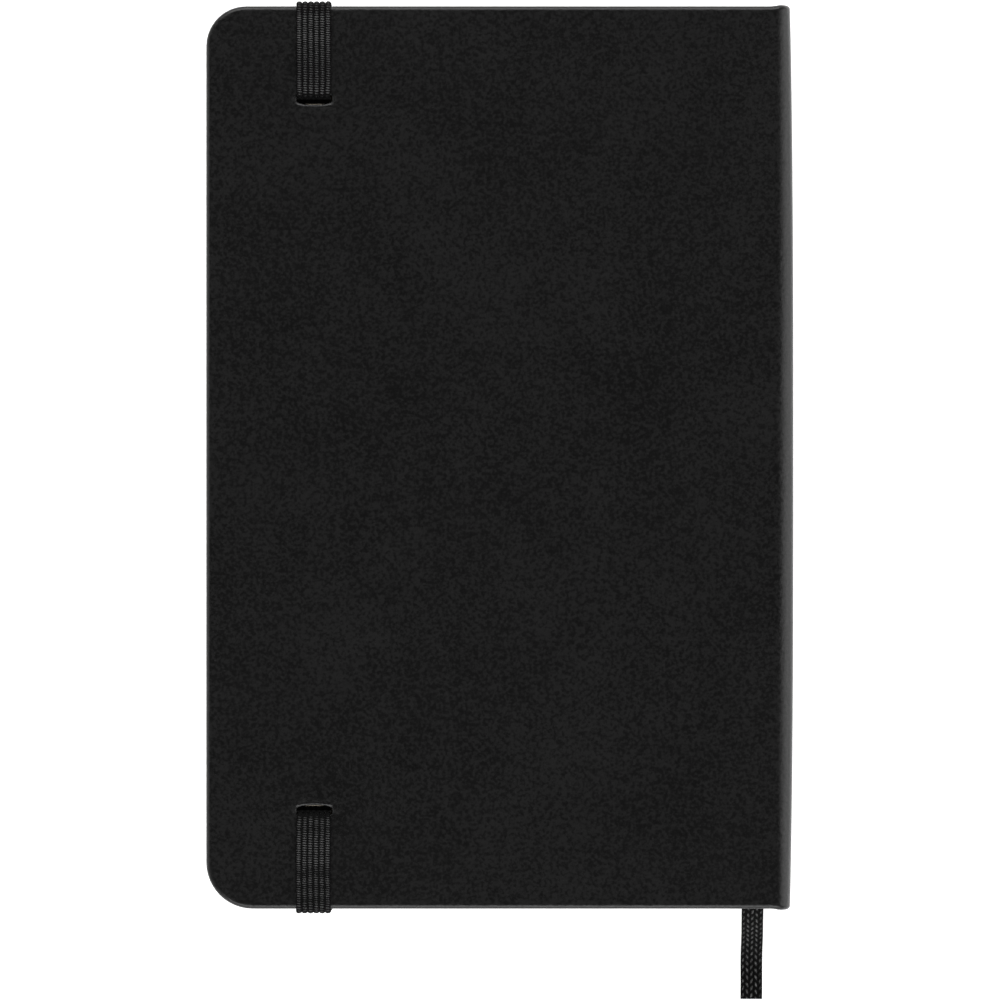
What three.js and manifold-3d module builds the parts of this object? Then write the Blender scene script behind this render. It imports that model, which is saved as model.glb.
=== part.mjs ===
// Pocket notebook, hardback, lying closed on its front cover with the back cover uppermost.
// Millimetres, +Z up. The head of the book is +Y, the spine is +X and the fore edge is -X.
// The origin is under the middle of the book, on the surface that the elastic band lies on.
import * as THREE from 'three';
import { mergeVertices } from 'three/addons/utils/BufferGeometryUtils.js';
import Module from 'manifold-3d';

const wasm = await Module();
wasm.setup();

// Covers
const COVER_LENGTH = 140;
const FORE_X = -45.4;
const SPINE_X = 45.4;
const CORNER_HEAD_R = 6.2;
const CORNER_TAIL_R = 7.2;
const SKIN = 0.3;
const BOARD = 1.05;
const PASTEDOWN = 0.12;
const TURN_IN = 12;
const GAP = 0.05;
const SKIN_BACK_GAP = 0.1;
const BOARD_BACK_GAP = 0.2;

// Spine
const SHOULDER_R = 2.5;
const SPINE_OVERHANG = 0.2;
const SPINE_TURN_IN = 8;
const SPINE_OVERLAP = 0.15;
const SPINE_STRIP = 0.8;
const LINING = 0.2;
const MULL = 0.2;
const MULL_INSET = 6;
const THREAD = 0.3;
const THREAD_STATIONS = [-48, -20, 20, 48];

// Text block
const SIGNATURES_EACH_HALF = 6;
const SIGNATURE = 0.66;
const FLYLEAF = 0.12;
const SQUARE = 2.7;
const BLOCK_BACK_X = 43;
const PAGE_CORNER_R = 5;

// Ribbon bookmark
const RIBBON_WIDTH = 3.4;
const RIBBON = 0.4;
const RIBBON_X = 39.6;
const RIBBON_CLEARANCE = 0.1;
// Its middle line as Y and Z: straight between the pages, an S over the tail, then flat on the surface.
const RIBBON_ROUTE = [
  [64, 7.35], [45, 7.35], [25, 7.35], [5, 7.35], [-15, 7.35], [-35, 7.35], [-52, 7.35], [-67.3, 7.35],
  [-68.9, 7.2], [-70.45, 6.74], [-71.87, 5.99], [-73.14, 4.99], [-74.17, 3.78],
  [-75.21, 2.56], [-76.47, 1.55], [-77.9, 0.81], [-79.45, 0.35], [-81.05, 0.2], [-82.9, 0.2], [-84.9, 0.2],
];

// Elastic band
const BAND_WIDTH = 5.4;
const BAND = 0.65;
const BAND_X = -28.8;
const BAND_HEAD_END_Y = 55.7;
const BAND_TAIL_END_Y = -54.9;
const SLOT_WIDTH = 6.2;
const SLOT_X = -28.65;
const SLOT_LENGTH = 1.7;
const SLOTS_Y = [55.72, -54.92];
const ANCHOR = 0.25;
const ANCHOR_FLAP = 10;

// Expanding pocket inside the back cover
const POCKET_PANEL = 0.22;
const POCKET_FOLD = 0.38;
const POCKET_GUSSET_LAYER = 0.12;
const POCKET_GUSSET_WIDTH = 8;
const POCKET_FORE_X = -41;
const POCKET_MOUTH_X = 30;
const POCKET_HALF = 65;

// Segments in a curve, how far a cutting shape runs past what it cuts, and the size of a shared point
const SMOOTH = 12;
const CUT_PAST = 1;
const SAME_POINT = 1e-5;

// Heights, from the surface upwards
const HALF_LENGTH = COVER_LENGTH / 2;
const PAGE_HALF = HALF_LENGTH - SQUARE;
const PAGE_FORE_X = FORE_X + SQUARE;
const COVER = SKIN + GAP + BOARD + GAP + SKIN + GAP + PASTEDOWN;
const FRONT_Z = BAND + GAP;
const FRONT_PAGES_Z = FRONT_Z + COVER + GAP + FLYLEAF + GAP;
const HALF_BLOCK = SIGNATURES_EACH_HALF * (SIGNATURE + GAP);
const RIBBON_Z = FRONT_PAGES_Z + HALF_BLOCK - GAP + RIBBON_CLEARANCE;
const BACK_PAGES_Z = RIBBON_Z + RIBBON + RIBBON_CLEARANCE;
const BACK_FLYLEAF_Z = BACK_PAGES_Z + HALF_BLOCK;
const POCKET_Z = BACK_FLYLEAF_Z + FLYLEAF + GAP;
const BACK_COVER_Z = POCKET_Z + POCKET_PANEL + GAP + POCKET_FOLD + GAP;
const TOP_Z = BACK_COVER_Z + COVER;

const MATERIALS = {
  leatherette: new THREE.MeshStandardMaterial({ color: 0x1a1a1a, roughness: 0.6 }),
  board: new THREE.MeshStandardMaterial({ color: 0x8d8577, roughness: 0.9 }),
  endpaper: new THREE.MeshStandardMaterial({ color: 0xede5d0, roughness: 0.85 }),
  page: new THREE.MeshStandardMaterial({ color: 0xf1ead8, roughness: 0.85 }),
  gauze: new THREE.MeshStandardMaterial({ color: 0xdedace, roughness: 0.9 }),
  thread: new THREE.MeshStandardMaterial({ color: 0xf0ece0, roughness: 0.8 }),
  gusset: new THREE.MeshStandardMaterial({ color: 0x1d1d1d, roughness: 0.9 }),
  elastic: new THREE.MeshStandardMaterial({ color: 0x292929, roughness: 0.8 }),
  ribbon: new THREE.MeshStandardMaterial({ color: 0x232323, roughness: 0.7 }),
};

const group = new THREE.Group();
group.name = 'pocket_notebook';

function add(name, solid, material) {
  const { vertProperties, triVerts } = solid.getMesh();
  const geometry = new THREE.BufferGeometry();
  geometry.setAttribute('position', new THREE.BufferAttribute(vertProperties, 3));
  geometry.setIndex(new THREE.BufferAttribute(triVerts, 1));
  geometry.computeVertexNormals();
  const mesh = new THREE.Mesh(geometry, MATERIALS[material]);
  mesh.name = name;
  group.add(mesh);
}

function solidOf(geometry) {
  geometry.deleteAttribute('normal');
  geometry.deleteAttribute('uv');
  const merged = mergeVertices(geometry, SAME_POINT);
  return new wasm.Manifold(new wasm.Mesh({
    numProp: 3,
    vertProperties: new Float32Array(merged.attributes.position.array),
    triVerts: new Uint32Array(merged.index.array),
  }));
}

function prism(shape, depth) {
  return new THREE.ExtrudeGeometry(shape, { depth, bevelEnabled: false, curveSegments: SMOOTH });
}

// A shape drawn in X and Y, thickened upwards from z.
function plate(shape, z, thickness) {
  return solidOf(prism(shape, thickness).translate(0, 0, z));
}

// A shape drawn in X and Z, drawn out along Y between two ends.
function alongY(shape, from, to) {
  return solidOf(prism(shape, to - from).rotateX(Math.PI / 2).translate(0, to, 0));
}

// A shape drawn in Y and Z, drawn out along X between two ends.
function alongX(shape, from, to) {
  const turn = new THREE.Matrix4().set(0, 0, 1, 0, 1, 0, 0, 0, 0, 1, 0, 0, 0, 0, 0, 1);
  return solidOf(prism(shape, to - from).applyMatrix4(turn).translate(from, 0, 0));
}

function rectangle(left, right, bottom, top) {
  return new THREE.Shape([
    new THREE.Vector2(left, bottom),
    new THREE.Vector2(right, bottom),
    new THREE.Vector2(right, top),
    new THREE.Vector2(left, top),
  ]);
}

function box(x0, x1, y0, y1, z0, z1) {
  return plate(rectangle(x0, x1, y0, y1), z0, z1 - z0);
}

// A leaf or board outline: square at the spine, rounded at the two fore-edge corners.
function leafShape(foreX, backX, half, headR, tailR) {
  const shape = new THREE.Shape();
  shape.moveTo(backX, -half);
  shape.lineTo(backX, half);
  shape.lineTo(foreX + headR, half);
  shape.absarc(foreX + headR, half - headR, headR, Math.PI / 2, Math.PI, false);
  shape.lineTo(foreX, -half + tailR);
  shape.absarc(foreX + tailR, -half + tailR, tailR, Math.PI, Math.PI * 1.5, false);
  shape.closePath();
  return shape;
}

function coverShape(inset, backX) {
  const headR = CORNER_HEAD_R - inset;
  const tailR = CORNER_TAIL_R - inset;
  return leafShape(FORE_X + inset, backX, HALF_LENGTH - inset, headR, tailR);
}

function pageShape(backX) {
  return leafShape(PAGE_FORE_X, backX, PAGE_HALF, PAGE_CORNER_R, PAGE_CORNER_R);
}

// The shape of a flat strip seen on edge: its middle line, thickened to both sides.
function stripShape(line, thickness) {
  const sides = [1, -1].map((side) => line.map((point, i) => {
    const before = line[Math.max(i - 1, 0)];
    const after = line[Math.min(i + 1, line.length - 1)];
    const along = after.clone().sub(before).normalize();
    return new THREE.Vector2(-along.y, along.x).multiplyScalar(side * thickness / 2).add(point);
  }));
  return new THREE.Shape([...sides[0], ...sides[1].reverse()]);
}

// Cover: leatherette wrapped round a board and turned in over three of its edges.
const SKIN_BACK_X = SPINE_X - SHOULDER_R - SKIN_BACK_GAP;
const BOARD_BACK_X = SKIN_BACK_X - BOARD_BACK_GAP;

function slotCut(y) {
  const left = SLOT_X - SLOT_WIDTH / 2;
  const low = y - SLOT_LENGTH / 2;
  return box(left, left + SLOT_WIDTH, low, low + SLOT_LENGTH, 0, TOP_Z + CUT_PAST);
}

// The turned-in side of the leatherette faces the pages: above the front cover, below the back one.
function coverParts(outerZ, inwards) {
  const layer = (shape, from, thickness) => {
    const start = outerZ + inwards * from;
    return plate(shape, Math.min(start, start + inwards * thickness), thickness);
  };
  const wrapDepth = SKIN + GAP + BOARD + GAP + SKIN;
  const wrap = layer(coverShape(0, SKIN_BACK_X), 0, wrapDepth)
    .subtract(layer(coverShape(SKIN, SPINE_X), SKIN, wrapDepth - SKIN * 2))
    .subtract(layer(leafShape(
      FORE_X + TURN_IN, SPINE_X, HALF_LENGTH - TURN_IN, CORNER_HEAD_R, CORNER_TAIL_R,
    ), SKIN, wrapDepth));
  const board = layer(coverShape(SKIN + GAP, BOARD_BACK_X), SKIN + GAP, BOARD);
  const pastedown = layer(pageShape(BOARD_BACK_X), wrapDepth + GAP, PASTEDOWN);
  return { wrap, board, pastedown };
}

const front = coverParts(FRONT_Z, 1);
add('front_cover_skin', front.wrap, 'leatherette');
add('front_board', front.board, 'board');
add('front_pastedown', front.pastedown, 'endpaper');

const back = coverParts(TOP_Z, -1);
const slots = SLOTS_Y.map(slotCut);
add('back_cover_skin', back.wrap.subtract(slots[0]).subtract(slots[1]), 'leatherette');
add('back_board', back.board.subtract(slots[0]).subtract(slots[1]), 'board');
add('back_pastedown', back.pastedown, 'endpaper');

// Spine: a C of leatherette with rounded shoulders, turned in at head and tail over a card strip.
function shoulderShape(inset) {
  const x = SPINE_X - inset;
  const low = FRONT_Z + inset;
  const high = TOP_Z - inset;
  const r = SHOULDER_R - inset;
  const shape = new THREE.Shape();
  shape.moveTo(SPINE_X - SHOULDER_R, low);
  shape.absarc(x - r, low + r, r, -Math.PI / 2, 0, false);
  shape.lineTo(x, high - r);
  shape.absarc(x - r, high - r, r, 0, Math.PI / 2, false);
  shape.closePath();
  return shape;
}

const SPINE_HALF = HALF_LENGTH + SPINE_OVERHANG;
const SPINE_CUT = SPINE_HALF + CUT_PAST;
const STRIP_X = SPINE_X - SKIN - GAP - SPINE_STRIP;
const SPINE_TURN_X = STRIP_X - GAP - SKIN;
const strip = rectangle(STRIP_X, STRIP_X + SPINE_STRIP, FRONT_Z + SHOULDER_R, TOP_Z - SHOULDER_R);
const turnIn = (y0, y1) => box(
  SPINE_TURN_X, SPINE_X - SPINE_OVERLAP, y0, y1, FRONT_Z + SHOULDER_R, TOP_Z - SHOULDER_R,
).subtract(box(
  SPINE_TURN_X + SKIN, SPINE_X, -SPINE_HALF + SKIN, SPINE_HALF - SKIN, FRONT_Z, TOP_Z,
));
const spineSkin = alongY(shoulderShape(0), -SPINE_HALF, SPINE_HALF)
  .subtract(alongY(shoulderShape(SKIN), -SPINE_CUT, SPINE_CUT))
  .subtract(box(0, SPINE_X - SHOULDER_R + GAP, -SPINE_CUT, SPINE_CUT, 0, TOP_Z + CUT_PAST));
add('spine_skin', spineSkin
  .add(turnIn(SPINE_HALF - SPINE_TURN_IN, SPINE_HALF))
  .add(turnIn(-SPINE_HALF, -SPINE_HALF + SPINE_TURN_IN)), 'leatherette');
add('spine_strip', alongY(strip, -SPINE_HALF + SKIN + GAP, SPINE_HALF - SKIN - GAP), 'board');

// Back of the text block: link stitches, then gauze, then a paper lining.
const BLOCK_LOW = FRONT_PAGES_Z;
const BLOCK_HIGH = BACK_FLYLEAF_Z - GAP;
const THREAD_X = BLOCK_BACK_X + GAP;
const MULL_X = THREAD_X + THREAD + GAP;
const LINING_X = MULL_X + MULL + GAP;
const LINK_Z = (BLOCK_LOW + BLOCK_HIGH - THREAD) / 2;
const stitches = THREAD_STATIONS.map((y) => box(
  THREAD_X, THREAD_X + THREAD, y - THREAD / 2, y + THREAD / 2, BLOCK_LOW, BLOCK_HIGH,
));
const kettle = box(
  THREAD_X, THREAD_X + THREAD, THREAD_STATIONS[0], THREAD_STATIONS[3], LINK_Z, LINK_Z + THREAD,
);
add('sewing_thread', stitches.reduce((sum, stitch) => sum.add(stitch), kettle), 'thread');
add('mull', box(
  MULL_X, MULL_X + MULL, -PAGE_HALF + MULL_INSET, PAGE_HALF - MULL_INSET, BLOCK_LOW, BLOCK_HIGH,
), 'gauze');
add('spine_lining', box(
  LINING_X, LINING_X + LINING, -PAGE_HALF, PAGE_HALF, BLOCK_LOW, BLOCK_HIGH,
), 'endpaper');

// Text block: sewn signatures of ivory leaves between two flyleaves.
add('front_flyleaf', plate(pageShape(BLOCK_BACK_X), FRONT_PAGES_Z - GAP - FLYLEAF, FLYLEAF), 'endpaper');
for (let i = 0; i < SIGNATURES_EACH_HALF * 2; i += 1) {
  const half = i < SIGNATURES_EACH_HALF ? FRONT_PAGES_Z : BACK_PAGES_Z;
  const z = half + (i % SIGNATURES_EACH_HALF) * (SIGNATURE + GAP);
  add(`signature_${String(i + 1).padStart(2, '0')}`, plate(pageShape(BLOCK_BACK_X), z, SIGNATURE), 'page');
}
add('back_flyleaf', plate(pageShape(BLOCK_BACK_X), BACK_FLYLEAF_Z, FLYLEAF), 'endpaper');

// Ribbon bookmark: flat in the middle opening, then out of the tail and down onto the surface.
const ribbonLine = RIBBON_ROUTE.map(([y, z]) => new THREE.Vector2(y, z));
add('ribbon_bookmark', alongX(
  stripShape(ribbonLine, RIBBON), RIBBON_X - RIBBON_WIDTH / 2, RIBBON_X + RIBBON_WIDTH / 2,
), 'ribbon');

// Elastic band: from a slot in the back cover, over the head, along the front cover, back over the tail.
const BAND_REACH = HALF_LENGTH + GAP + BAND;
const BAND_HIGH = TOP_Z + GAP + BAND;
const BAND_OUTER_R = BAND + GAP;
function roundedLoop(reach, low, high, r) {
  const shape = new THREE.Shape();
  shape.moveTo(-reach + r, low);
  shape.lineTo(reach - r, low);
  shape.absarc(reach - r, low + r, r, -Math.PI / 2, 0, false);
  shape.lineTo(reach, high - r);
  shape.absarc(reach - r, high - r, r, 0, Math.PI / 2, false);
  shape.lineTo(-reach + r, high);
  shape.absarc(-reach + r, high - r, r, Math.PI / 2, Math.PI, false);
  shape.lineTo(-reach, low + r);
  shape.absarc(-reach + r, low + r, r, Math.PI, Math.PI * 1.5, false);
  return shape;
}
const bandLeft = BAND_X - BAND_WIDTH / 2;
const bandRight = BAND_X + BAND_WIDTH / 2;
const loop = alongX(roundedLoop(BAND_REACH, 0, BAND_HIGH, BAND_OUTER_R), bandLeft, bandRight)
  .subtract(alongX(
    roundedLoop(BAND_REACH - BAND, BAND, BAND_HIGH - BAND, GAP), bandLeft - CUT_PAST, bandRight + CUT_PAST,
  ))
  .subtract(box(
    bandLeft - CUT_PAST, bandRight + CUT_PAST, BAND_TAIL_END_Y, BAND_HEAD_END_Y,
    TOP_Z - CUT_PAST, BAND_HIGH + CUT_PAST,
  ));
add('elastic_loop', loop, 'elastic');

// Each end of the band goes down through its slot and is glued flat inside the cover.
const ANCHOR_Z = TOP_Z - SKIN - GAP - BOARD - GAP - ANCHOR;
function anchorShape(y, inwards) {
  const near = y - inwards * ANCHOR / 2;
  const far = y + inwards * ANCHOR / 2;
  const tip = y + inwards * ANCHOR_FLAP;
  return new THREE.Shape([
    new THREE.Vector2(near, TOP_Z - GAP),
    new THREE.Vector2(near, ANCHOR_Z),
    new THREE.Vector2(tip, ANCHOR_Z),
    new THREE.Vector2(tip, ANCHOR_Z + ANCHOR),
    new THREE.Vector2(far, ANCHOR_Z + ANCHOR),
    new THREE.Vector2(far, TOP_Z - GAP),
  ]);
}
add('elastic_anchor_head', alongX(anchorShape(SLOTS_Y[0], -1), bandLeft, bandRight), 'elastic');
add('elastic_anchor_tail', alongX(anchorShape(SLOTS_Y[1], 1), bandLeft, bandRight), 'elastic');

// Pocket: a panel folded along its fore-edge side, with a pleated gusset at head and tail.
const POCKET_TOP = POCKET_Z + POCKET_PANEL + GAP + POCKET_FOLD;
const panel = new THREE.Shape([
  new THREE.Vector2(POCKET_FORE_X, POCKET_Z),
  new THREE.Vector2(POCKET_MOUTH_X, POCKET_Z),
  new THREE.Vector2(POCKET_MOUTH_X, POCKET_Z + POCKET_PANEL),
  new THREE.Vector2(POCKET_FORE_X + POCKET_PANEL, POCKET_Z + POCKET_PANEL),
  new THREE.Vector2(POCKET_FORE_X + POCKET_PANEL, POCKET_TOP),
  new THREE.Vector2(POCKET_FORE_X, POCKET_TOP),
]);
add('pocket_panel', alongY(panel, -POCKET_HALF, POCKET_HALF), 'endpaper');

function gussetShape(side) {
  const outer = side * POCKET_HALF;
  const inner = side * (POCKET_HALF - POCKET_GUSSET_WIDTH);
  const web = inner + side * POCKET_GUSSET_LAYER;
  const low = POCKET_TOP - POCKET_FOLD;
  return new THREE.Shape([
    new THREE.Vector2(outer, low),
    new THREE.Vector2(inner, low),
    new THREE.Vector2(inner, POCKET_TOP),
    new THREE.Vector2(outer, POCKET_TOP),
    new THREE.Vector2(outer, POCKET_TOP - POCKET_GUSSET_LAYER),
    new THREE.Vector2(web, POCKET_TOP - POCKET_GUSSET_LAYER),
    new THREE.Vector2(web, low + POCKET_GUSSET_LAYER),
    new THREE.Vector2(outer, low + POCKET_GUSSET_LAYER),
  ]);
}
const GUSSET_FORE_X = POCKET_FORE_X + POCKET_PANEL + GAP;
add('pocket_gusset_head', alongX(gussetShape(1), GUSSET_FORE_X, POCKET_MOUTH_X), 'gusset');
add('pocket_gusset_tail', alongX(gussetShape(-1), GUSSET_FORE_X, POCKET_MOUTH_X), 'gusset');

export default group;
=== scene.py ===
# The looks of a closed pocket notebook, built round its CAD frame. Lengths here are in millimetres
# in the frame's own axes: +Y to the head, +X to the spine, +Z up to the back cover.
import math

import bpy
import numpy as np
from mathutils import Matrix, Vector


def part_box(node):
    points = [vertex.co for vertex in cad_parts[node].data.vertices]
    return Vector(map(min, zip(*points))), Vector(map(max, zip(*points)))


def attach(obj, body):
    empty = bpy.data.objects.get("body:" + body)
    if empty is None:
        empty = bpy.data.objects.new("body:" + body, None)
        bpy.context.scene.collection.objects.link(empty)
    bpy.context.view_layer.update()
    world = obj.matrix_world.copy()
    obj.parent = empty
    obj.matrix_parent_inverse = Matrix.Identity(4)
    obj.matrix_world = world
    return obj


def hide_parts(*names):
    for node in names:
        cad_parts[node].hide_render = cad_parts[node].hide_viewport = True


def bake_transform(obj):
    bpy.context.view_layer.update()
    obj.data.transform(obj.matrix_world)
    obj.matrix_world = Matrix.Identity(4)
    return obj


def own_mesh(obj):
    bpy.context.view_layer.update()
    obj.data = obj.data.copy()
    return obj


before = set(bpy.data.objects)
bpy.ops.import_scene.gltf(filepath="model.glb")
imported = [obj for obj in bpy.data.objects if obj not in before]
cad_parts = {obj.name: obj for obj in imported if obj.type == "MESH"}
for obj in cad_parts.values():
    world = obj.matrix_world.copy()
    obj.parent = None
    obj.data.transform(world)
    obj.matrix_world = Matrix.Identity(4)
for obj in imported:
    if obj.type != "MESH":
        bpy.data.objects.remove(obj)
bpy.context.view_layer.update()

MM = 0.001
SCENE = bpy.context.scene
RNG = np.random.default_rng(7)
SAME_PLACE = 1e-6


def box_mm(node):
    low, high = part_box(node)
    return np.array(low) / MM, np.array(high) / MM


# Driving sizes: from the frame where it gives them, and the CAD part's own values elsewhere
COVER_LOW, COVER_HIGH = box_mm("back_cover_skin")
BAND_LOW, BAND_HIGH = box_mm("elastic_loop")
RIBBON_LOW, RIBBON_HIGH = box_mm("ribbon_bookmark")
LEAF_LOW, LEAF_HIGH = box_mm("signature_01")
TOP = COVER_HIGH[2]
BOTTOM = box_mm("front_cover_skin")[0][2]
MID = (TOP + BOTTOM) / 2
FULLNESS = 0.07  # how far the leatherette stands past the CAD cover
FORE = COVER_LOW[0] - FULLNESS
HALF = COVER_HIGH[1] + FULLNESS
SPINE = box_mm("spine_skin")[1][0]
SHOULDER = TOP - box_mm("spine_strip")[1][2]
ARC_START = SPINE - SHOULDER
CORNER_HEAD = 6.2
CORNER_TAIL = 7.2
PAGE_CORNER = 5.0
LEATHER = 0.3
BAND_WIDTH = BAND_HIGH[0] - BAND_LOW[0]
RIBS = 6
RIB_PITCH = BAND_WIDTH / RIBS


# ---------------------------------------------------------------- camera

PHOTO_WIDTH = 155.2
PHOTO_CENTRE = (0.15, -6.6)
LENS = 300.0
SENSOR = 36.0


def make_camera():
    data = bpy.data.cameras.new("camera")
    data.lens = LENS
    data.sensor_width = SENSOR
    camera = bpy.data.objects.new("camera", data)
    height = TOP + PHOTO_WIDTH * LENS / SENSOR
    camera.location = Vector((*PHOTO_CENTRE, height)) * MM
    SCENE.collection.objects.link(camera)
    SCENE.camera = camera


make_camera()


# ---------------------------------------------------------------- material helpers

class Nodes:
    """A material's node tree, built by short calls that each return an output socket."""

    def __init__(self, name):
        self.material = bpy.data.materials.new(name)
        self.material.use_nodes = True
        self.tree = self.material.node_tree
        self.shader = self.tree.nodes["Principled BSDF"]
        self.rest = self.stored("rest_mm").outputs["Vector"]

    def stored(self, name):
        node = self.tree.nodes.new("ShaderNodeAttribute")
        node.attribute_name = name
        return node

    def feed(self, socket, value):
        if isinstance(value, bpy.types.NodeSocket):
            self.tree.links.new(value, socket)
        elif value is not None:
            socket.default_value = value

    def from_object(self):
        """Positions for a CAD node, which has no stored rest positions: its own coordinates, in mm."""
        coordinates = self.tree.nodes.new("ShaderNodeTexCoord")
        scale = self.tree.nodes.new("ShaderNodeVectorMath")
        scale.operation = "SCALE"
        scale.inputs["Scale"].default_value = 1 / MM
        self.tree.links.new(coordinates.outputs["Object"], scale.inputs[0])
        self.rest = scale.outputs[0]
        return self

    def math(self, operation, a, b=None, c=None):
        node = self.tree.nodes.new("ShaderNodeMath")
        node.operation = operation
        for socket, value in zip(node.inputs, (a, b, c)):
            self.feed(socket, value)
        return node.outputs[0]

    def axis(self, which):
        node = self.tree.nodes.new("ShaderNodeSeparateXYZ")
        self.feed(node.inputs[0], self.rest)
        return node.outputs[which]

    def stretch(self, x, y, z):
        node = self.tree.nodes.new("ShaderNodeVectorMath")
        node.operation = "MULTIPLY"
        self.feed(node.inputs[0], self.rest)
        node.inputs[1].default_value = (x, y, z)
        return node.outputs[0]

    def noise(self, scale, detail=2.0, vector=None, roughness=0.5):
        node = self.tree.nodes.new("ShaderNodeTexNoise")
        self.feed(node.inputs["Vector"], vector or self.rest)
        node.inputs["Scale"].default_value = scale
        node.inputs["Detail"].default_value = detail
        node.inputs["Roughness"].default_value = roughness
        return node.outputs["Fac"]

    def cells(self, scale, feature="F1"):
        node = self.tree.nodes.new("ShaderNodeTexVoronoi")
        node.feature = feature
        self.feed(node.inputs["Vector"], self.rest)
        node.inputs["Scale"].default_value = scale
        return node.outputs["Distance"]

    def wave(self, coordinate, pitch, sharpness=1.0):
        """0 to 1 and back once in each pitch along a coordinate."""
        turn = self.math("MULTIPLY", coordinate, 2 * math.pi / pitch)
        half = self.math("MULTIPLY_ADD", self.math("COSINE", turn), 0.5, 0.5)
        return self.math("POWER", half, sharpness)

    def ramp(self, value, low, high, to_low=0.0, to_high=1.0):
        node = self.tree.nodes.new("ShaderNodeMapRange")
        self.feed(node.inputs["Value"], value)
        node.inputs["From Min"].default_value = low
        node.inputs["From Max"].default_value = high
        node.inputs["To Min"].default_value = to_low
        node.inputs["To Max"].default_value = to_high
        return node.outputs[0]

    def mix(self, factor, first, second):
        node = self.tree.nodes.new("ShaderNodeMix")
        node.data_type = "RGBA"
        self.feed(node.inputs["Factor"], factor)
        for socket, colour in zip((node.inputs[6], node.inputs[7]), (first, second)):
            self.feed(socket, colour if isinstance(colour, bpy.types.NodeSocket) else (*colour, 1))
        return node.outputs[2]

    def finish(self, colour, roughness, bump=None, height_mm=0.02, specular=0.5):
        self.feed(self.shader.inputs["Base Color"], colour)
        self.feed(self.shader.inputs["Roughness"], roughness)
        self.shader.inputs["Specular IOR Level"].default_value = specular
        if bump is not None:
            node = self.tree.nodes.new("ShaderNodeBump")
            node.inputs["Distance"].default_value = height_mm * MM
            self.feed(node.inputs["Height"], bump)
            self.feed(self.shader.inputs["Normal"], node.outputs[0])
        return self.material


def grey(value):
    return (value, value, value)


# ---------------------------------------------------------------- materials

def leatherette():
    """Near-black imitation leather: a fine pebble grain, soft mottling and slightly uneven gloss."""
    n = Nodes("leatherette")
    mottle = n.noise(0.055, 3.0)
    fleck = n.noise(2.0, 3.0, roughness=0.6)
    tone = n.math("ADD", n.math("MULTIPLY", mottle, 0.15), n.math("MULTIPLY", fleck, 0.85))
    colour = n.mix(n.ramp(tone, 0.43, 0.57), grey(0.0001), grey(0.0062))
    pebbles = n.cells(1.5, "SMOOTH_F1")
    creases = n.noise(3.4, 5.0, roughness=0.7)
    grain = n.math("ADD", n.math("MULTIPLY", pebbles, -0.7), n.math("MULTIPLY", creases, 0.6))
    gloss = n.ramp(n.noise(0.12, 2.0), 0.3, 0.7, 0.32, 0.345)
    return n.finish(colour, gloss, grain, 0.05, specular=0.32)


def webbing(name, light, on_node=False):
    """Ribbed woven black elastic with painted light: a painted highlight on the cross threads over each rib
    and near-black painted shade in the valleys between them; light is the highlight's colour.
    """
    n = Nodes(name).from_object() if on_node else Nodes(name)
    if on_node:
        relief_and_painted_light = n.wave(n.axis(0), RIB_PITCH)
    else:
        relief_and_painted_light = n.stored("relief_and_painted_light").outputs["Fac"]
    fibre = n.noise(1.0, 4.0, n.stretch(9.0, 3.2, 3.2), 0.7)
    # Painted light: the colour follows the relief, with a painted highlight on rib crowns and threads and
    # painted shade in the valleys.
    tone = n.math("MULTIPLY", relief_and_painted_light, n.ramp(fibre, 0.3, 0.7, 0.35, 1.0))
    colour = n.mix(n.ramp(tone, 0.3, 0.95), grey(0.001), grey(light))
    return n.finish(colour, n.ramp(fibre, 0.3, 0.7, 0.66, 0.85), fibre, 0.03, specular=0.08)


def braid():
    """Flat braided ribbon of black yarn with fine fibres along each float; its satin lustre is painted in,
    a painted highlight on each float and painted shade between them.
    """
    n = Nodes("bookmark_braid")
    relief_and_painted_light = n.stored("relief_and_painted_light").outputs["Fac"]
    fibre = n.noise(1.0, 4.0, n.stretch(11.0, 2.2, 11.0), 0.7)
    # Painted light: the colour follows the floats' relief, with a painted highlight on each float and
    # painted shade in the gaps.
    tone = n.math("MULTIPLY", relief_and_painted_light, n.ramp(fibre, 0.3, 0.7, 0.3, 1.0))
    colour = n.mix(n.ramp(tone, 0.45, 0.85), grey(0.0005), grey(0.15))
    return n.finish(colour, n.ramp(fibre, 0.3, 0.7, 0.6, 0.75), fibre, 0.03, specular=0.08)


PAPER_LIGHT = (0.64, 0.585, 0.465)
PAPER_DARK = (0.585, 0.53, 0.41)
LINE_PITCH = 6.0
LINE_WIDTH = 0.16
LINE_MARGIN = 12.0
LINE_INK = (0.30, 0.31, 0.33)
LINE_STRENGTH = 0.75


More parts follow.
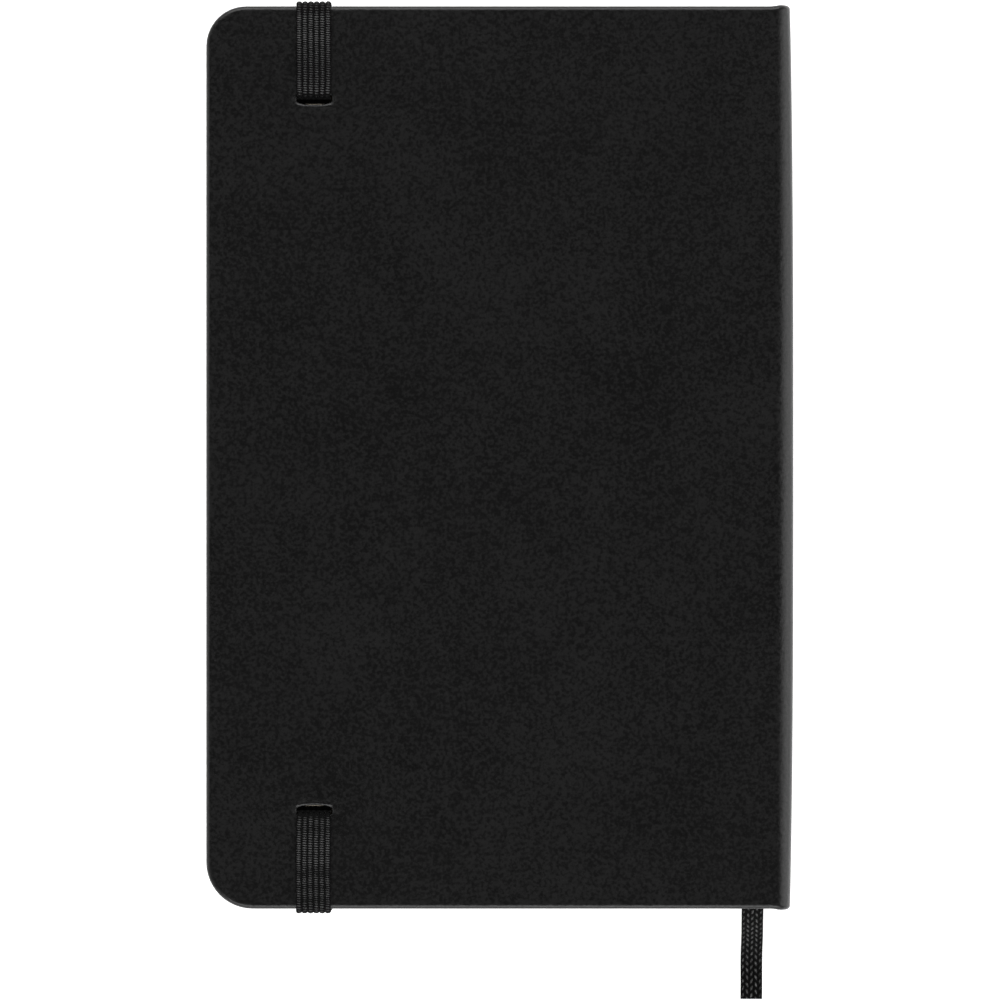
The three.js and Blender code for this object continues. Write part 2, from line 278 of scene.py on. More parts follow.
def paper(name, ruled=False, on_node=False):
    """Ivory wove paper with a faint formation and short fibres, ruled in grey if asked."""
    n = Nodes(name).from_object() if on_node else Nodes(name)
    cloud = n.noise(0.25, 3.0)
    fibre = n.noise(1.0, 5.0, n.stretch(2.4, 6.0, 6.0), 0.75)
    tone = n.math("ADD", n.math("MULTIPLY", cloud, 0.5), n.math("MULTIPLY", fibre, 0.5))
    colour = n.mix(n.ramp(tone, 0.35, 0.65), PAPER_DARK, PAPER_LIGHT)
    if ruled:
        y = n.axis(1)
        down = n.math("SUBTRACT", LEAF_HIGH[1] - LINE_MARGIN, y)
        place = n.math("ABSOLUTE", n.math("PINGPONG", down, LINE_PITCH / 2))
        line = n.math("LESS_THAN", place, LINE_WIDTH / 2)
        below_margin = n.math("GREATER_THAN", down, -LINE_WIDTH)
        inside = n.math("GREATER_THAN", n.axis(0), LEAF_LOW[0] + LINE_WIDTH)
        ink = n.math("MULTIPLY", n.math("MULTIPLY", line, below_margin), inside)
        colour = n.mix(n.math("MULTIPLY", ink, LINE_STRENGTH), colour, LINE_INK)
    return n.finish(colour, n.ramp(fibre, 0.3, 0.7, 0.72, 0.86), fibre, 0.012, specular=0.3)


def greyboard():
    """Pressed grey-brown board with dark and light flecks of recycled fibre."""
    n = Nodes("greyboard").from_object()
    fibre = n.noise(1.0, 6.0, n.stretch(1.4, 3.2, 8.0), 0.8)
    fleck = n.ramp(n.cells(1.1), 0.0, 0.22)
    base = n.mix(n.ramp(fibre, 0.3, 0.7), (0.2, 0.175, 0.14), (0.33, 0.3, 0.245))
    colour = n.mix(fleck, (0.12, 0.1, 0.08), base)
    return n.finish(colour, n.ramp(fibre, 0.3, 0.7, 0.82, 0.95), fibre, 0.05, specular=0.25)


def gauze():
    """Starched open-weave cotton: a plain weave of single threads with dark openings between."""
    n = Nodes("mull_gauze").from_object()
    warp = n.wave(n.axis(1), 0.9, 0.6)
    weft = n.wave(n.axis(2), 0.9, 0.6)
    weave = n.math("MAXIMUM", warp, weft)
    slub = n.noise(1.5, 3.0)
    cover = n.math("MULTIPLY", weave, n.ramp(slub, 0.2, 0.7, 0.75, 1.0))
    colour = n.mix(n.ramp(cover, 0.45, 0.8), (0.2, 0.18, 0.14), (0.72, 0.68, 0.58))
    return n.finish(colour, n.ramp(slub, 0.3, 0.7, 0.8, 0.95), weave, 0.12, specular=0.25)


def thread():
    """Waxed linen thread with a visible twist."""
    n = Nodes("sewing_thread").from_object()
    twist = n.wave(n.math("ADD", n.axis(2), n.math("ADD", n.axis(0), n.axis(1))), 0.42)
    fibre = n.noise(4.0, 3.0)
    tone = n.math("MULTIPLY", n.math("ADD", twist, fibre), 0.5)
    colour = n.mix(n.ramp(tone, 0.2, 0.8), (0.58, 0.54, 0.44), (0.88, 0.85, 0.76))
    return n.finish(colour, n.ramp(fibre, 0.3, 0.7, 0.5, 0.7), tone, 0.06, specular=0.4)


def book_cloth():
    """Black book cloth: a fine plain weave, matte."""
    n = Nodes("gusset_cloth")
    warp = n.wave(n.axis(0), 0.5)
    weft = n.wave(n.axis(1), 0.5)
    weave = n.math("MULTIPLY", n.math("ADD", warp, weft), 0.5)
    slub = n.noise(2.0, 3.0)
    tone = n.math("MULTIPLY", weave, n.ramp(slub, 0.3, 0.7, 0.7, 1.0))
    colour = n.mix(tone, grey(0.006), grey(0.028))
    return n.finish(colour, n.ramp(slub, 0.3, 0.7, 0.8, 0.92), weave, 0.05, specular=0.3)


def backdrop():
    """Pale studio sweep, lit from inside so that it stays white under the book."""
    n = Nodes("backdrop").from_object()
    tone = n.noise(0.004, 2.0)
    colour = n.mix(n.ramp(tone, 0.3, 0.7), grey(0.9), grey(0.92))
    from_middle = n.math("MAXIMUM", n.math("ABSOLUTE", n.axis(0)), n.math("ABSOLUTE", n.axis(1)))
    n.shader.inputs["Emission Color"].default_value = (1, 1, 1, 1)
    n.feed(n.shader.inputs["Emission Strength"], n.ramp(from_middle, 900, 4500, 0.6, 0.3))
    return n.finish(colour, n.ramp(tone, 0.3, 0.7, 0.85, 0.9), tone, 0.01, specular=0.2)


LEATHERETTE = leatherette()
WEBBING = webbing("elastic_webbing", 0.13)
# A darker copy of the webbing for the anchors inside the slots: painted shade.
NODE_WEBBING_PAINTED_SHADE = webbing("painted_shade_webbing_in_slot", 0.006, on_node=True)
BRAID = braid()
RULED = paper("page_paper", ruled=True)
PLAIN = paper("endpaper")
NODE_PAPER = paper("endpaper_on_node", on_node=True)
GREYBOARD = greyboard()
GAUZE = gauze()
THREAD = thread()
BOOK_CLOTH = book_cloth()


# ---------------------------------------------------------------- mesh helpers

def make_piece(name, points, faces, material, smooth=True, relief_and_painted_light=None):
    points = np.asarray(points, float)
    mesh = bpy.data.meshes.new(name)
    mesh.from_pydata((points * MM).tolist(), [], faces)
    rest = mesh.attributes.new("rest_mm", "FLOAT_VECTOR", "POINT")
    rest.data.foreach_set("vector", points.astype(np.float32).ravel())
    # The stored relief sets the painted highlight and painted shade of the elastic and the braid.
    if relief_and_painted_light is not None:
        heights = mesh.attributes.new("relief_and_painted_light", "FLOAT", "POINT")
        heights.data.foreach_set("value", relief_and_painted_light.astype(np.float32).ravel())
    mesh.materials.append(material)
    mesh.polygons.foreach_set("use_smooth", [smooth] * len(mesh.polygons))
    mesh.update()
    piece = bpy.data.objects.new(name, mesh)
    SCENE.collection.objects.link(piece)
    return piece


def quads(rings, count):
    """Faces between rings of points that are numbered ring by ring, with count points in each."""
    faces = []
    for i in range(rings - 1):
        for j in range(count):
            a = i * count + j
            b = i * count + (j + 1) % count
            faces.append((a, b, b + count, a + count))
    return faces


def smoothstep(low, high, value):
    t = np.clip((value - low) / (high - low), 0, 1)
    return t * t * (3 - 2 * t)


# ---------------------------------------------------------------- ribbon bookmark

# The middle line as Y and Z, the same points as the CAD route
RIBBON_ROUTE = [
    (64, 7.35), (45, 7.35), (25, 7.35), (5, 7.35), (-15, 7.35), (-35, 7.35), (-52, 7.35), (-67.3, 7.35),
    (-68.9, 7.2), (-70.45, 6.74), (-71.87, 5.99), (-73.14, 4.99), (-74.17, 3.78),
    (-75.21, 2.56), (-76.47, 1.55), (-77.9, 0.81), (-79.45, 0.35),
    (-81.05, 0.2), (-82.9, 0.2), (-84.9, 0.2),
]
RIBBON_WIDTH = RIBBON_HIGH[0] - RIBBON_LOW[0]
RIBBON_X = (RIBBON_HIGH[0] + RIBBON_LOW[0]) / 2
RIBBON_THICK = 0.3
FLOAT_SINK = 0.1
FLOAT_HEIGHT = 0.18
STITCH = 1.12
BRAID_COLUMNS = 5


def resample(line, step):
    """Points at an even spacing along a line of points, and each one's distance along it."""
    line = np.asarray(line, float)
    run = np.concatenate([[0], np.cumsum(np.linalg.norm(np.diff(line, axis=0), axis=1))])
    at = np.linspace(0, run[-1], int(run[-1] / step) + 1)
    return np.stack([np.interp(at, run, line[:, k]) for k in range(line.shape[1])], axis=1), at


def normals_of(line):
    """Unit normals of a line in a plane, 90 degrees anticlockwise from its direction."""
    along = np.gradient(line, axis=0)
    along /= np.linalg.norm(along, axis=1)[:, None]
    return np.stack([-along[:, 1], along[:, 0]], axis=1)


def braid_height(across, along):
    """Height of the braid's floats, 0 to 1. across is 0 to 1 over the width; along is in stitches."""
    column = across * BRAID_COLUMNS
    index = np.floor(np.clip(column, 0, BRAID_COLUMNS - SAME_PLACE))
    beside = column - index - 0.5
    lean = np.where(index % 2 == 0, 0.55, -0.55)
    phase = along + 0.5 * (index % 2) + lean * beside
    rise = (phase % 1.0) - 0.5
    float_length = np.clip(1 - (np.abs(rise) / 0.5) ** 2.2, 0, 1)
    float_width = np.clip(1 - (np.abs(beside) / 0.5) ** 2.4, 0, 1)
    return float_length * float_width


def make_ribbon():
    line, run = resample(RIBBON_ROUTE, 0.14)
    up = -normals_of(line)
    across = np.linspace(0, 1, 36)
    wander = 0.05 * np.sin(run / 3.1) + 0.04 * np.sin(run / 1.3)
    rows = []
    relief_and_painted_light = []
    for side in (1, -1):
        shares = across if side > 0 else across[::-1]
        edge = np.clip(1 - np.abs(2 * shares - 1) ** 8, 0, 1) ** 0.5
        height = braid_height(shares[None, :], (run / STITCH)[:, None])
        offset = side * edge[None, :] * (RIBBON_THICK / 2 - FLOAT_SINK + FLOAT_HEIGHT * height)
        x = RIBBON_X + (shares[None, :] - 0.5) * RIBBON_WIDTH + wander[:, None] * 0.4
        y = line[:, None, 0] + up[:, None, 0] * offset
        z = line[:, None, 1] + up[:, None, 1] * offset
        rows.append(np.stack([x, y, z], axis=2))
        # The braid's painted light and shade, stored per point: high on the floats, none in the gaps and at
        # the edges.
        relief_and_painted_light.append(height * edge[None, :])
    points = np.concatenate(rows, axis=1)
    count, ring = points.shape[:2]
    faces = quads(count, ring)
    faces.append(tuple(range(ring)))
    faces.append(tuple((count - 1) * ring + k for k in reversed(range(ring))))
    relief_and_painted_light = np.concatenate(relief_and_painted_light, axis=1)
    points = points.reshape(-1, 3)
    ribbon = make_piece("ribbon_braid", points, faces, BRAID, relief_and_painted_light=relief_and_painted_light)
    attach(ribbon, "front_cover")
    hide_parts("ribbon_bookmark")


make_ribbon()


# ---------------------------------------------------------------- cover and spine skins

SLOT_HALF = 2.78
SLOT_DISH = 0.3
SLOT_SHIFT = 0.15
SLOT_SQUARENESS = 5.0
SLOT_X = (BAND_LOW[0] + BAND_HIGH[0]) / 2 + SLOT_SHIFT
SLOT_LENGTH = 1.3
ANCHOR_HALF = 0.125
SLOT_HEAD = box_mm("elastic_anchor_head")[1][1] - ANCHOR_HALF
SLOT_TAIL = box_mm("elastic_anchor_tail")[0][1] + ANCHOR_HALF
EDGE = 0.7
EDGE_SUPPORT = 0.15
WRAP = 1.75
TURN_IN = 4.0
SPINE_BOW = 0.52
SPINE_FULLNESS = 0.72
SPINE_END_BULGE = 0.22
PATCH_HALF = 4.4
PATCH_X = (SLOT_X - PATCH_HALF, SLOT_X + PATCH_HALF)
PATCH_REACH = 2.2
SHARP_DEGREES = 60
FLAT_END = 40.5
LOW_EDGE = 0.35


def bend_over_spine(s, y, depth):
    """A point of the flat skin, laid over the shoulder and down the spine. s runs along +X, then round."""
    arc_length = SHOULDER * math.pi / 2
    angle = np.clip((s - ARC_START) / SHOULDER, 0, math.pi / 2)
    beyond = np.clip(s - ARC_START - arc_length, 0, None)
    radius = SHOULDER - depth
    x = np.minimum(s, ARC_START) + radius * np.sin(angle)
    z = TOP - SHOULDER + radius * np.cos(angle) - beyond
    onto_spine = smoothstep(0.0, 1.2, angle)
    x = x + onto_spine * SPINE_BOW * (SPINE_FULLNESS - np.abs(y / HALF) ** 3)
    return np.stack([x, y, z], axis=-1)


def end_bulge(s):
    """How far the spine's ends stand past the boards."""
    return SPINE_END_BULGE * smoothstep(ARC_START - 1.0, ARC_START + 1.6, s)


def skin_columns():
    """Places of the grid's lines along s, from the fore edge to the middle of the spine."""
    fore = FORE + EDGE + (CORNER_TAIL - EDGE) * (1 - np.cos(np.linspace(0, math.pi / 2, 13)))
    left = np.linspace(fore[-1], PATCH_X[0], 3)[1:]
    patch = np.linspace(*PATCH_X, 25)[1:]
    flat = np.linspace(PATCH_X[1], FLAT_END, 18)[1:]
    hinge = np.linspace(FLAT_END, ARC_START, 7)[1:]
    arc_end = ARC_START + SHOULDER * math.pi / 2
    arc = np.linspace(ARC_START, arc_end, 15)[1:]
    face = np.linspace(arc_end, arc_end + TOP - SHOULDER - MID, 6)[1:]
    return np.concatenate([fore, left, patch, flat, hinge, arc, face])


def skin_rows():
    """Places of the grid's lines along Y on a full-length column."""
    inner = HALF - EDGE - EDGE_SUPPORT
    spans = [
        (-inner, SLOT_TAIL - PATCH_REACH, 6), (SLOT_TAIL - PATCH_REACH, SLOT_TAIL + PATCH_REACH, 11),
        (SLOT_TAIL + PATCH_REACH, SLOT_HEAD - PATCH_REACH, 24),
        (SLOT_HEAD - PATCH_REACH, SLOT_HEAD + PATCH_REACH, 11), (SLOT_HEAD + PATCH_REACH, inner, 6),
    ]
    parts = [np.linspace(low, high, count)[1:] for low, high, count in spans]
    return np.concatenate([[EDGE - HALF, -inner], *parts, [HALF - EDGE]])


def corner_cut(s, radius):
    """How far a rounded corner takes the outline in from its head or tail edge, and the normal there."""
    r = radius - EDGE
    cosine = np.clip((FORE + radius - s) / r, 0, 1)
    sine = np.sqrt(1 - cosine ** 2)
    return r * (1 - sine), -cosine, sine


def slot_outline(x, y, middle_side):
    """Moves points of a patch's outer loop onto the slot: a rounded rectangle, dished on its inner side."""
    u = (x - SLOT_X) / ((PATCH_X[1] - PATCH_X[0]) / 2)
    v = y / PATCH_REACH
    around = np.maximum(np.abs(u), np.abs(v))
    u = u / around
    v = v / around
    scale = (np.abs(u) ** SLOT_SQUARENESS + np.abs(v) ** SLOT_SQUARENESS) ** (-1 / SLOT_SQUARENESS)
    slot_x = SLOT_X + u * scale * SLOT_HALF
    slot_y = v * scale * SLOT_LENGTH / 2
    dish = SLOT_DISH * (1 - ((slot_x - SLOT_X) / SLOT_HALF) ** 2)
    return slot_x, slot_y + np.where(slot_y * middle_side > 0, middle_side * dish, 0)


# Rings from the slot's wall out to the flat leatherette: share of the way out, and height
LIP_RINGS = [
    (0.0, -1.2), (0.0, -0.6), (0.0, -0.25), (0.01, -0.08), (0.04, -0.02), (0.08, 0.03), (0.12, 0.07),
    (0.16, 0.1), (0.2, 0.12), (0.26, 0.13), (0.36, 0.118), (0.5, 0.088), (0.66, 0.05), (0.82, 0.016),
]


def slot_patch(points, faces, loop, middle, middle_side):
    """Fills a hole in the grid with rings that close in on one slot, with a lip on its inner side."""
    outer = np.array([points[k] for k in loop])
    slot_x, slot_y = slot_outline(outer[:, 0], outer[:, 1] - middle, middle_side)
    slot = np.stack([slot_x, slot_y + middle], axis=1)
    lip = smoothstep(-0.5, 0.45, slot_y * middle_side)
    previous = list(loop)
    for share, height in reversed(LIP_RINGS):
        flat = slot + (outer[:, :2] - slot) * share
        rise = height * lip if height > 0 else np.full(len(lip), height)
        first = len(points)
        points.extend(np.column_stack([flat, TOP + rise]).tolist())
        ring = [first + k for k in range(len(loop))]
        for k in range(len(loop)):
            after = (k + 1) % len(loop)
            faces.append((previous[k], previous[after], ring[after], ring[k]))
        previous = ring


def half_skin(slotted):
    """One cover's leatherette with its half of the spine's, as an open sheet with rolled edges."""
    s = skin_columns()
    y = skin_rows()
    cut_head, head_x, head_y = corner_cut(s, CORNER_HEAD)
    cut_tail, tail_x, tail_y = corner_cut(s, CORNER_TAIL)
    inner = HALF - EDGE
    reach = np.where(y[None, :] > 0, (inner - cut_head)[:, None], (inner - cut_tail)[:, None]) / inner
    edge_share = smoothstep(0.8, 1.0, np.abs(y / inner))[None, :]
    grid_y = y[None, :] * reach + np.sign(y)[None, :] * edge_share * end_bulge(s)[:, None]
    columns, rows = grid_y.shape
    grid_s = np.repeat(s[:, None], rows, axis=1)
    points = bend_over_spine(grid_s, grid_y, 0.0).reshape(-1, 3).tolist()

    def at(i, j):
        return i * rows + j

    patches = []
    faces = []
    holes = set()
    if slotted:
        inside_x = [i for i in range(columns) if PATCH_X[0] - SAME_PLACE <= s[i] <= PATCH_X[1] + SAME_PLACE]
        for middle, side in ((SLOT_HEAD, -1), (SLOT_TAIL, 1)):
            inside_y = [j for j in range(rows) if abs(y[j] - middle) <= PATCH_REACH + SAME_PLACE]
            i0, i1, j0, j1 = inside_x[0], inside_x[-1], inside_y[0], inside_y[-1]
            holes |= {(i, j) for i in range(i0, i1) for j in range(j0, j1)}
            loop = [at(i, j0) for i in range(i0, i1)] + [at(i1, j) for j in range(j0, j1)]
            loop += [at(i, j1) for i in range(i1, i0, -1)] + [at(i0, j) for j in range(j1, j0, -1)]
            patches.append((loop, middle, side))
    for i in range(columns - 1):
        for j in range(rows - 1):
            if (i, j) not in holes:
                faces.append((at(i, j), at(i + 1, j), at(i + 1, j + 1), at(i, j + 1)))
    for loop, middle, side in patches:
        slot_patch(points, faces, loop, middle, side)

    # The three free edges, as one run of points from the spine's tail round the fore edge to its head
    border = [(at(i, 0), s[i], grid_y[i, 0], tail_x[i], -tail_y[i]) for i in reversed(range(columns))]
    border += [(at(0, j), s[0], grid_y[0, j], -1.0, 0.0) for j in range(1, rows - 1)]
    border += [(at(i, rows - 1), s[i], grid_y[i, -1], head_x[i], head_y[i]) for i in range(columns)]
    edge_s, edge_y, out_x, out_y = (np.array([b[k] for b in border]) for k in (1, 2, 3, 4))
    turns = np.linspace(0, math.pi / 2, 7)[1:]
    rings = [(EDGE * math.sin(t), EDGE * (1 - math.cos(t))) for t in turns]
    rings += [(EDGE, WRAP / 2), (EDGE, WRAP - LOW_EDGE)]
    rings += [
        (EDGE - LOW_EDGE * (1 - math.cos(t)), WRAP - LOW_EDGE * (1 - math.sin(t))) for t in turns[1::2]
    ]
    rings += [(EDGE - TURN_IN / 2, WRAP), (EDGE - TURN_IN, WRAP)]
    previous = [b[0] for b in border]
    for out, depth in rings:
        first = len(points)
        ring = bend_over_spine(edge_s + out_x * out, edge_y + out_y * out, depth)
        points.extend(ring.tolist())
        now = [first + k for k in range(len(border))]
        for k in range(len(border) - 1):
            faces.append((previous[k], previous[k + 1], now[k + 1], now[k]))
        previous = now
    return drop_unused(np.array(points), faces)


def drop_unused(points, faces):
    """Leaves out the points that no face uses, such as those of the grid inside a hole."""
    used = np.unique([k for face in faces for k in face])
    renumber = np.full(len(points), -1)
    renumber[used] = np.arange(len(used))
    return points[used], [tuple(int(renumber[k]) for k in face) for face in faces]


def thicken(points, faces, thickness):
    """Closes an open sheet into a thin solid: a copy below it, and a rim along each free edge."""
    normals = np.zeros_like(points)
    for face in faces:
        a, b, c = points[face[0]], points[face[1]], points[face[2]]
        d = points[face[-1]]
        normal = np.cross(c - a, d - b)
        for k in face:
            normals[k] += normal
    normals /= np.linalg.norm(normals, axis=1)[:, None]
    count = len(points)
    both = np.concatenate([points, points - normals * thickness])
    all_faces = list(faces) + [tuple(count + k for k in reversed(face)) for face in faces]
    edges = {}
    for face in faces:
        for k, a in enumerate(face):
            b = face[(k + 1) % len(face)]
            if (b, a) in edges:
                del edges[(b, a)]
            else:
                edges[(a, b)] = True
    all_faces += [(b, a, count + a, count + b) for a, b in edges]
    return both, all_faces


def flip_to_front(points, faces):
    """The same skin turned over to the lower cover."""
    turned = points.copy()
    turned[:, 2] = 2 * MID - turned[:, 2]
    return turned, [tuple(reversed(face)) for face in faces]


def make_skins():
    back = thicken(*half_skin(True), LEATHER)
    front = flip_to_front(*thicken(*half_skin(False), LEATHER))
    for name, (points, faces), cover, nodes, rise in (
        ("back_case_skin", back, "back_cover", ("back_cover_skin", "spine_skin"), 1),
        ("front_case_skin", front, "front_cover", ("front_cover_skin",), -1),
    ):
        skin = make_piece(name, points, faces, LEATHERETTE)
        skin.data.set_sharp_from_angle(angle=math.radians(SHARP_DEGREES))
        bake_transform(skin)
        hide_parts(*nodes)


make_skins()


# ---------------------------------------------------------------- elastic band

BAND_MID = (BAND_HIGH[0] + BAND_LOW[0]) / 2
BAND_THICK = 0.6
BAND_LIFT = 0.06
BAND_BULGE = 0.13
BAND_OFF_SLOT = 0.27
BAND_DEPTH = 0.7
DIVE = 0.55
RIB_STEPS = 9
RIB_HEIGHT = 0.28
THREAD_PITCH = 0.36
THREAD_DEPTH = 0.75
THREAD_LEAN = 0.18
THREAD_WANDER = 0.3
EDGE_NIBBLE = 0.12
END_NECK = 0.07
END_NECK_REACH = 1.6
# How dark the painted shade makes the band where it dives into a slot.
END_PAINTED_SHADE = 0.35
BAND_STEP = 0.09


def arc_points(centre, radius, start, end, count=9):
    angles = np.radians(np.linspace(start, end, count))
    return [(centre[0] + radius * math.cos(a), centre[1] + radius * math.sin(a)) for a in angles]


def band_route():
    """The band's middle line as Y and Z: out of the head slot, round the covers and into the tail slot."""
    centre = BAND_LIFT + BAND_THICK / 2
    high = TOP + centre
    low = BOTTOM - centre
    out = HALF + centre + BAND_BULGE
    corner = EDGE + centre
    head = SLOT_HEAD + BAND_OFF_SLOT
    tail = SLOT_TAIL - BAND_OFF_SLOT
    route = [(head, TOP - BAND_DEPTH)]
    route += arc_points((head + DIVE, high - DIVE), DIVE, 180, 90)
    route += arc_points((out - corner, high - corner), corner, 90, 0)
    route += arc_points((out - corner, low + corner), corner, 0, -90)
    route += arc_points((-out + corner, low + corner), corner, -90, -180)
    route += arc_points((-out + corner, high - corner), corner, 180, 90)
    route += arc_points((tail - DIVE, high - DIVE), DIVE, 90, 0)
    route.append((tail, TOP - BAND_DEPTH))
    return route


def make_band():
    line, run = resample(band_route(), BAND_STEP)
    out = normals_of(line)
    length = run[-1]
    ribs = np.arange(RIBS * RIB_STEPS + 1) / RIB_STEPS
    to_end = np.minimum(run, length - run)
    narrow = 1 - END_NECK * np.exp(-((to_end / END_NECK_REACH) ** 2))
    sway = 0.05 * np.sin(run / 6.3) + 0.03 * np.sin(run / 2.4)
    index = np.clip(ribs.astype(int), 0, RIBS - 1)
    phase = RNG.uniform(0, 1, RIBS)[index]
    crown = np.abs(np.sin(ribs * math.pi)) ** 0.6
    marks = np.arange(0, length + 1)
    uneven = np.interp(run, marks, RNG.uniform(0.6, 1.3, len(marks)))
    wander = THREAD_WANDER * np.sin(run[:, None] / 1.9 + 9 * phase[None, :])
    turn = run[:, None] / THREAD_PITCH + wander + (phase + THREAD_LEAN * (ribs - index - 0.5))[None, :]
    threads = 0.5 + 0.5 * np.cos(2 * math.pi * turn)
    width = BAND_WIDTH * narrow[:, None] - EDGE_NIBBLE * (1 - threads)
    x = BAND_MID + (ribs / RIBS - 0.5)[None, :] * width + sway[:, None]
    # The ribs' and threads' height: it shapes the band and also sets its painted highlight and shade.
    relief_and_painted_light = crown[None, :] * (1 - THREAD_DEPTH + THREAD_DEPTH * threads * uneven[:, None])
    outer = BAND_THICK / 2 - RIB_HEIGHT * (1 - relief_and_painted_light)
    inner = -(BAND_THICK / 2 - 0.05) + 0.05 * (1 - crown)[None, :]
    shells = []
    backwards = slice(None, None, -1)
    for offset, order in ((outer, slice(None)), (np.broadcast_to(inner, outer.shape), backwards)):
        y = line[:, None, 0] + out[:, None, 0] * offset
        z = line[:, None, 1] + out[:, None, 1] * offset
        shells.append(np.stack([x, y, z], axis=2)[:, order])
    points = np.concatenate(shells, axis=1)
    count, ring = points.shape[:2]
    faces = [tuple(reversed(face)) for face in quads(count, ring)]
    faces.append(tuple(reversed(range(ring))))
    faces.append(tuple((count - 1) * ring + k for k in range(ring)))
    # Painted shade: the band's colour darkens over its last millimetres, where it dives into the slots.
    relief_and_painted_light = relief_and_painted_light * (END_PAINTED_SHADE + (1 - END_PAINTED_SHADE) * smoothstep(0.7, 1.7, to_end))[:, None]
    both = np.concatenate([relief_and_painted_light, relief_and_painted_light[:, ::-1]], axis=1)
    points = points.reshape(-1, 3)
    band = make_piece("elastic_band", points, faces, WEBBING, relief_and_painted_light=both)
    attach(band, "back_cover")
    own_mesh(band)
    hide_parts("elastic_loop")


make_band()


# ---------------------------------------------------------------- paper

LEAF_BEND = 1.7
HINGE_FROM = LEAF_HIGH[0] - LEAF_BEND
LEAVES_EACH = 8
LEAF_GAP = 0.03
LEAF_SHARE = (0.78, 0.9)
FORE_UNEVEN = 0.09
END_UNEVEN = 0.05
LEAF_SHIFT = 0.03


def leaf_columns(fore, back, corner):
    rounded = fore + corner * (1 - np.cos(np.linspace(0, math.pi / 2, 9)))
    body = np.linspace(rounded[-1], HINGE_FROM, 6)[1:]
    bend = np.linspace(HINGE_FROM, back, 13)[1:]
    return np.concatenate([rounded, body, bend])


def leaf(fore, back, half, low, high, corner, shift=0.0):
    """One leaf as a thin closed slab, with rounded fore-edge corners and lines of points at its back."""
    x = leaf_columns(fore, back, corner)
    inside = np.clip(corner - (x - fore), 0, corner)
    reach = half - corner + np.sqrt(corner ** 2 - inside ** 2)
    points = []
    for z in (low, high):
        points += [(a, -b + shift, z) for a, b in zip(x, reach)]
        points += [(a, b + shift, z) for a, b in zip(x, reach)]
    n = len(x)
    faces = []
    for i in range(n - 1):
        faces.append((i, n + i, n + i + 1, i + 1))
        faces.append((2 * n + i, 2 * n + i + 1, 3 * n + i + 1, 3 * n + i))
        faces.append((i, i + 1, 2 * n + i + 1, 2 * n + i))
        faces.append((n + i, 3 * n + i, 3 * n + i + 1, n + i + 1))
    faces.append((0, 2 * n, 3 * n, n))
    faces.append((n - 1, 2 * n - 1, 4 * n - 1, 3 * n - 1))
    return points, faces


def make_signature(number):
    """Eight leaves, each a little out of line with the next as a trimmed and handled block is."""
    name = f"signature_{number:02d}"
    low, high = box_mm(name)
    pitch = (high[2] - low[2] + LEAF_GAP) / LEAVES_EACH
    points = []
    faces = []
    for i in range(LEAVES_EACH):
        fore = low[0] + RNG.uniform(0.0, FORE_UNEVEN)
        half = high[1] - RNG.uniform(0.0, END_UNEVEN)
        bottom = low[2] + i * pitch
        thick = pitch * RNG.uniform(*LEAF_SHARE)
        shift = RNG.uniform(-LEAF_SHIFT, LEAF_SHIFT)
        some, more = leaf(fore, high[0], half, bottom, bottom + thick, PAGE_CORNER, shift)
        faces += [tuple(len(points) + k for k in face) for face in more]
        points += some
    piece = make_piece(f"leaves_{number:02d}", points, faces, RULED, smooth=False)
    bend_at_back(piece)
    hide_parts(name)


def bend_at_back(piece):
    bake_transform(piece)


def make_endpaper(name):
    low, high = box_mm(name)
    points, faces = leaf(low[0], LEAF_HIGH[0], high[1], low[2], high[2], PAGE_CORNER)
    piece = make_piece(f"{name}_sheet", points, faces, PLAIN, smooth=False)
    bend_at_back(piece)
    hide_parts(name)


def make_paper():
    for number in range(1, 13):
        make_signature(number)
    make_endpaper("front_pastedown")
    make_endpaper("front_flyleaf")
    make_endpaper("back_flyleaf")
    make_endpaper("back_pastedown")


make_paper()


# ---------------------------------------------------------------- pocket gussets

GUSSET_CLOTH = 0.11
GUSSET_FLAP = 3


def make_gusset(node, side):
    """A pleat of book cloth between the cover and the pocket's panel, in its closed shape."""
    low, high = box_mm(node)
    outer = high[1] if side > 0 else low[1]
    inner = low[1] if side > 0 else high[1]
    height = high[2] - low[2]
    cloth = GUSSET_CLOTH
    turn = [(outer, low[2] + cloth / 2), (outer - side * GUSSET_FLAP, low[2] + cloth / 2)]
    bulge = [
        (inner + side * (height / 2 - (height - cloth) / 2 * math.cos(a)),
         low[2] + height / 2 - (height - cloth) / 2 * math.sin(a))
        for a in np.linspace(math.pi / 2, -math.pi / 2, 9)
    ]
    back = [(outer - side * GUSSET_FLAP, high[2] - cloth / 2), (outer, high[2] - cloth / 2)]
    line = np.array(turn + bulge + back)
    across = normals_of(line) * cloth / 2
    section = np.concatenate([line + across, (line - across)[::-1]])
    xs = np.linspace(low[0], high[0], 30)
    points = [(x, y, z) for x in xs for y, z in section]
    ring = len(section)
    faces = quads(len(xs), ring)
    faces.append(tuple(range(ring))[::-1])
    faces.append(tuple((len(xs) - 1) * ring + k for k in range(ring)))
    if side < 0:
        faces = [tuple(reversed(face)) for face in faces]
    piece = make_piece(f"{node}_cloth", points, faces, BOOK_CLOTH)
    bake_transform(piece)
    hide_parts(node)


make_gusset("pocket_gusset_head", 1)
make_gusset("pocket_gusset_tail", -1)


# ---------------------------------------------------------------- CAD nodes that show as they are

def finish_node(name, material):
    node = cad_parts[name]
    for place in node.material_slots:
        place.material = material


for node_name in ("front_board", "back_board", "spine_strip"):
    finish_node(node_name, GREYBOARD)
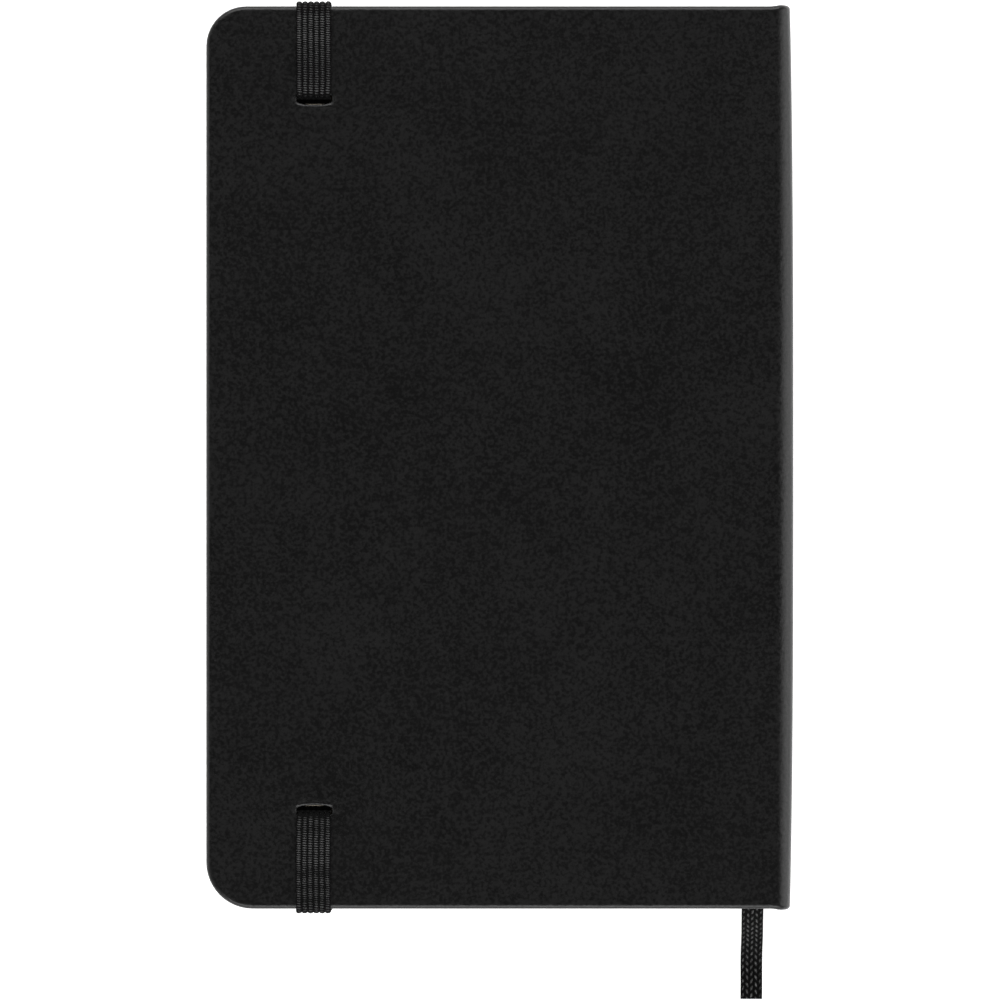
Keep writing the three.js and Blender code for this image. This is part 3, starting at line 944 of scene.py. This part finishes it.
# The anchors sit in the slots and get painted shade: the darker copy of the webbing.
for node_name in ("elastic_anchor_head", "elastic_anchor_tail"):
    finish_node(node_name, NODE_WEBBING_PAINTED_SHADE)
for node_name in ("spine_lining", "pocket_panel"):
    finish_node(node_name, NODE_PAPER)
finish_node("mull", GAUZE)
finish_node("sewing_thread", THREAD)


# ---------------------------------------------------------------- studio

SWEEP_RINGS = [(4.2, 0.0), (4.9, 0.2), (5.3, 0.8), (5.5, 2.5)]
SWEEP_SIDES = 64


def make_floor():
    """A flat disc that turns up into a wall far outside the camera's view."""
    angles = [2 * math.pi * k / SWEEP_SIDES for k in range(SWEEP_SIDES)]
    points = [(r * math.cos(a), r * math.sin(a), z) for r, z in SWEEP_RINGS for a in angles]
    faces = [tuple(range(SWEEP_SIDES))]
    for face in quads(len(SWEEP_RINGS), SWEEP_SIDES):
        faces.append(tuple(reversed(face)))
    mesh = bpy.data.meshes.new("floor")
    mesh.from_pydata(points, [], faces)
    mesh.materials.append(backdrop())
    floor = bpy.data.objects.new("floor", mesh)
    SCENE.collection.objects.link(floor)


def softbox(name, place, size, watts, aim=(0, 0, 0)):
    data = bpy.data.lights.new(name, "AREA")
    data.shape = "RECTANGLE"
    data.size = size[0]
    data.size_y = size[1]
    data.energy = watts
    light = bpy.data.objects.new(name, data)
    light.location = place
    light.visible_camera = False
    light.rotation_euler = (Vector(aim) - Vector(place)).to_track_quat("-Z", "Y").to_euler()
    SCENE.collection.objects.link(light)


def make_world():
    world = bpy.data.worlds.new("studio")
    world.use_nodes = True
    background = world.node_tree.nodes["Background"]
    background.inputs["Color"].default_value = (1, 1, 1, 1)
    background.inputs["Strength"].default_value = 0.12
    SCENE.world = world


make_floor()
make_world()
softbox("spine_light", (1.0, 0.0, 0.32), (0.5, 1.2), 5.0)
softbox("head_light", (0.0, 0.95, 0.75), (1.2, 0.6), 13)
softbox("tail_light", (0.0, -0.95, 0.75), (1.2, 0.6), 13)
softbox("fore_light", (-1.1, 0.0, 0.6), (0.6, 1.2), 3)
SCENE.view_settings.view_transform = "Standard"
